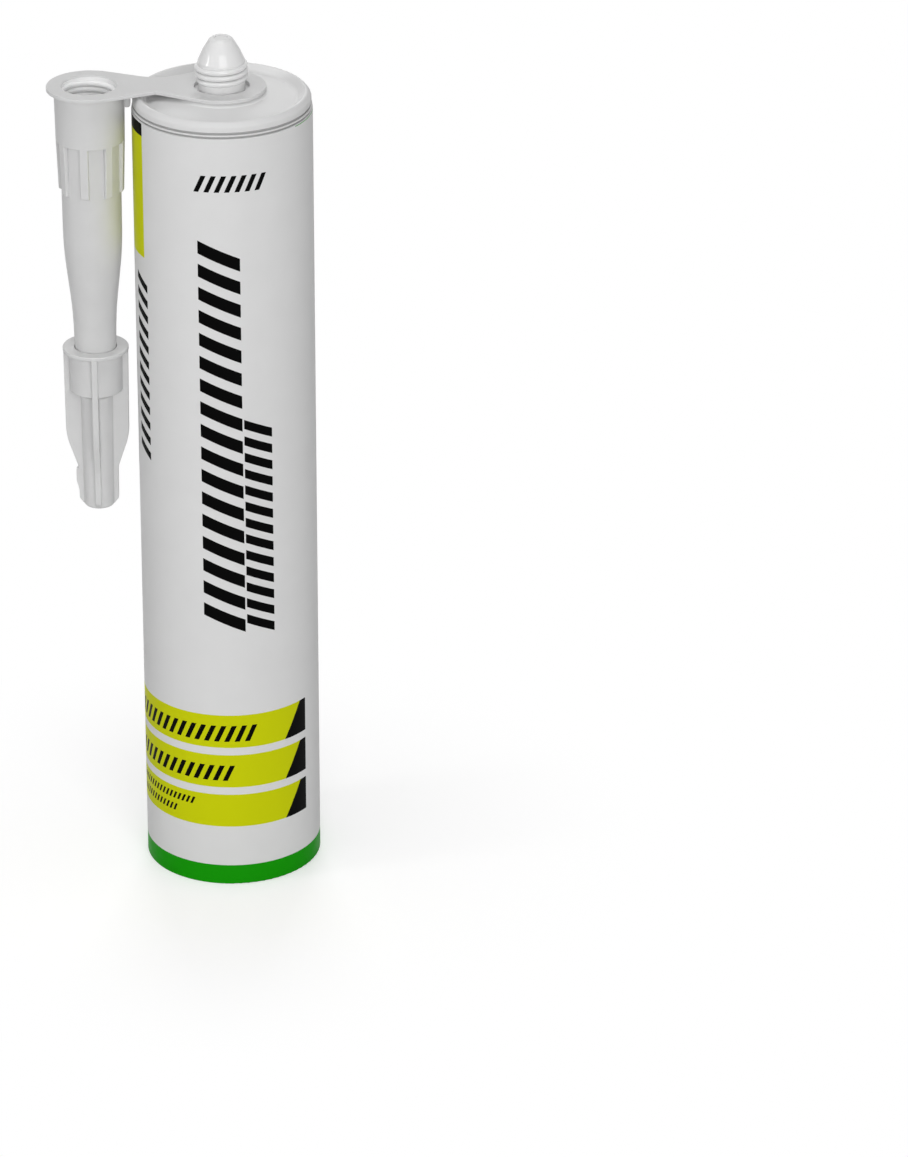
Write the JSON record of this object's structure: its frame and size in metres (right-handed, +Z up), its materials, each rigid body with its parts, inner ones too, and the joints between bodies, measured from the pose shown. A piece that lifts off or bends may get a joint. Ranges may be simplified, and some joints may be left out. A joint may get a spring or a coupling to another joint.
{
  "type": "caulk tube",
  "caption": "Filled sealant cartridge with an open rear, a sliding piston, and a capped nozzle hanging from its neck by a flat strap.",
  "frame": {"origin": "centre of the tube's open rear rim, on the surface it stands on", "axes": "+Z up along the tube towards the neck, -X towards the hanging nozzle, -Y towards the printed front"},
  "size_m": [0.0733, 0.05, 0.2489],
  "materials": {
    "cartridge": "satin moulded polyethylene with printed bands",
    "piston": "satin moulded polyethylene",
    "sealant": "smooth paste",
    "nozzle": "satin moulded polyethylene"
  },
  "bodies": {
    "cartridge": {"cartridge_body": "cartridge", "sealant": "sealant"},
    "piston": {"piston": "piston"},
    "nozzle": {"nozzle": "nozzle"},
    "nozzle_cap": {"nozzle_cap": "nozzle"}
  },
  "joints": [
    {"name": "piston_slide", "type": "slide", "parent": "cartridge", "child": "piston", "axis": [0, 0, 1], "range_m": [0, 0.2], "deforming": ["sealant"]},
    {"name": "strap_swivel", "type": "hinge", "parent": "cartridge", "child": "nozzle", "pos_m": [0, 0, 0.23435], "axis": [0, 0, 1], "continuous": true},
    {"name": "cap_pull", "type": "slide", "parent": "nozzle", "child": "nozzle_cap", "axis": [0, 0, -1], "range_m": [0, 0.046]}
  ]
}
